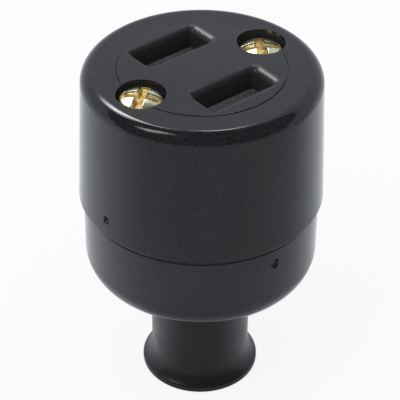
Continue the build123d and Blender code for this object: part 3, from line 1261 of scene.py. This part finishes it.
@dataclass
class Studio:
    """The white floor, the soft lamps, the dark overhead flag and the camera."""

    azimuth: float = 50.63
    elevation: float = 37.01
    roll: float = 0.48
    distance: float = 0.24
    focal_px: float = 1779.5
    image_px: float = 400.0
    sensor: float = 36.0
    near: float = 0.01
    aside: float = -0.000146
    target_z: float = 0.027908
    ambient: float = 0.8
    mirrored_room: float = 0.85
    cool: Colour = (0.93, 0.98, 1.08)
    floor_colours: tuple[Colour, Colour] = ((0.93, 0.93, 0.93), (0.91, 0.915, 0.92))
    floor_cloud: Grain = Grain(0.004)
    floor_size: float = 6.0
    floor_glow: float = 0.85
    floor_mirrored: float = 0.7
    floor_light: float = -110.0  # Azimuth of its bright side
    floor_levels: Pair = (0.55, 1.2)  # In gloss, on its dark and its bright side
    floor_reach: Pair = (-45.0, 20.0)  # In millimetres, where the bright side starts and is full
    contact: Pair = (17.0, -13.5)  # Middle of the shaded patch beside the lip, in millimetres
    contact_reach: Pair = (9.0, 25.0)  # Where that patch starts to fade, and where it is gone
    contact_level: float = 0.38
    flag_colour: Colour = (0.12, 0.12, 0.125)
    flag_elevation: float = 42.0
    flag_reach: float = 77.0  # From its middle to its edge, in degrees
    flag_distance: float = 2.0
    flag_steps: int = 96
    lamps: tuple[Softbox, ...] = (
        Softbox("back_left_window", -103, 49.5, (0.2, 0.08), 13.0, lit=False),
        Softbox("back_left_curtain", -101, 50.5, (0.28, 0.19), 7.0, lit=False),
        Softbox("back_right_window", -133, 48.5, (0.055, 0.1), 9.0, lit=False),
        Softbox("top_left_window", -19, 62, (0.07, 0.2), 8.0, lit=False),
        Softbox("top_left_curtain", -19, 62, (0.15, 0.29), 6.0, lit=False),
        Softbox("left_key", -5, 48, (0.5, 0.5), 1.6, mirrored=False),
    )

    def camera(self) -> bpy.types.Object:
        """Places the camera at the photograph's view.

        Returns:
            The camera.
        """
        data = bpy.data.cameras.new("view")
        data.sensor_fit = "HORIZONTAL"
        data.sensor_width = self.sensor
        data.lens = self.focal_px / self.image_px * self.sensor
        data.clip_start = self.near
        away = heading(self.azimuth, self.elevation)
        a = math.radians(self.azimuth)
        right = Vector((math.cos(a), math.sin(a), 0))
        rise = away.cross(right)
        tilt = math.radians(self.roll)
        across = right * math.cos(tilt) + rise * math.sin(tilt)
        upward = away.cross(across)
        target = right * self.aside + Vector((0, 0, self.target_z))
        camera = bpy.data.objects.new("view", data)
        turn = Matrix((across, upward, away)).transposed().to_4x4()
        camera.matrix_world = Matrix.Translation(target + away * self.distance) @ turn
        bpy.context.scene.collection.objects.link(camera)
        bpy.context.scene.camera = camera
        return camera

    def world(self) -> None:
        """Lights the room evenly, and shows white to the eye and a cool white to gloss."""
        world = bpy.data.worlds.new("room")
        sheet = NodeSheet(world)
        seen, gloss = sheet.rays()
        level = self.ambient + seen * (1.0 - self.ambient) + gloss * (self.mirrored_room - self.ambient)
        colour = sheet.blend(gloss, WHITE, self.cool)
        light = sheet.add("ShaderNodeBackground", {}, {"Color": colour, "Strength": level})
        sheet.close(light, "ShaderNodeOutputWorld")
        bpy.context.scene.world = world

    def _paper(self) -> bpy.types.Material:
        """The floor's finish: white to the eye, and to gloss a room with a bright side and a shaded patch.

        Returns:
            The material.
        """
        sheet = NodeSheet.material("studio_floor")
        place = sheet.millimetres()
        cloud = sheet.noise(place, self.floor_cloud)
        colour = sheet.blend(cloud.above(0.3, 0.7) * 0.3, *self.floor_colours)
        paper = sheet.add("ShaderNodeBsdfDiffuse", {}, {"Color": colour})
        seen, gloss = sheet.rays()
        side = heading(self.floor_light, 0)
        x, y, _ = sheet.axes(place)
        shaded, bright = self.floor_levels
        level = shaded + (x * side.x + y * side.y).above(*self.floor_reach) * (bright - shaded)
        off_x, off_y = x - self.contact[0], y - self.contact[1]
        clear = (off_x * off_x + off_y * off_y).above(*(reach**2 for reach in self.contact_reach))
        level = level * (self.contact_level + clear * (1.0 - self.contact_level))
        sockets = {"Color": sheet.blend(gloss, WHITE, self.cool), "Strength": 1.0 - gloss + gloss * level}
        glow = sheet.add("ShaderNodeEmission", {}, sockets)
        return sheet.mixed(seen * self.floor_glow + gloss * self.floor_mirrored, paper, glow)

    def floor(self) -> bpy.types.Object:
        """Lays the pale floor.

        Returns:
            The floor.
        """
        blank = Blank()
        bmesh.ops.create_grid(blank.bm, x_segments=1, y_segments=1, size=self.floor_size)
        floor = blank.placed("studio_floor")
        floor.data.materials.append(self._paper())
        return floor

    def flag(self) -> bpy.types.Object:
        """Hangs the dark flag that gloss sees overhead and behind the camera.

        Returns:
            The flag.
        """
        sheet = NodeSheet.material("studio_flag")
        material = sheet.surface({"Base Color": (*self.flag_colour, 1.0), "Roughness": 1.0})
        blank = Blank()
        bm = blank.bm
        steps = self.flag_steps
        bmesh.ops.create_uvsphere(bm, u_segments=steps, v_segments=steps, radius=self.flag_distance)
        edge = self.flag_distance * math.cos(math.radians(self.flag_reach))
        bmesh.ops.delete(bm, geom=[v for v in bm.verts if v.co.z < edge], context="VERTS")
        turn = heading(self.azimuth, self.flag_elevation).to_track_quat("Z", "Y").to_matrix()
        bmesh.ops.rotate(bm, cent=(0, 0, 0), matrix=turn, verts=bm.verts[:])
        flag = blank.placed("studio_flag")
        flag.data.materials.append(material)
        flag.visible_camera = False
        flag.visible_diffuse = False
        flag.visible_shadow = False
        flag.visible_transmission = False
        return flag

    def build(self) -> None:
        """Builds the studio."""
        bpy.context.scene.view_settings.view_transform = "Standard"
        self.world()
        self.floor()
        self.flag()
        for lamp in self.lamps:
            lamp.place(Vector((0, 0, self.target_z)))
        self.camera()


def main() -> None:
    """Builds the pieces and the studio."""
    logging.basicConfig(level=logging.INFO, format="%(name)s: %(message)s")
    heights = BodyHeights()
    cap = SocketCap(heights)
    cap.build()
    CordCup(heights).build()
    CordBush(heights).build()
    CoverScrew("front", -cap.screw_y, cap.seats[0], recess_angle=127.0).build()
    CoverScrew("back", cap.screw_y, cap.seats[1], recess_angle=60.0).build()
    Internals().dress()
    Studio().build()


if __name__ == "__main__":
    main()
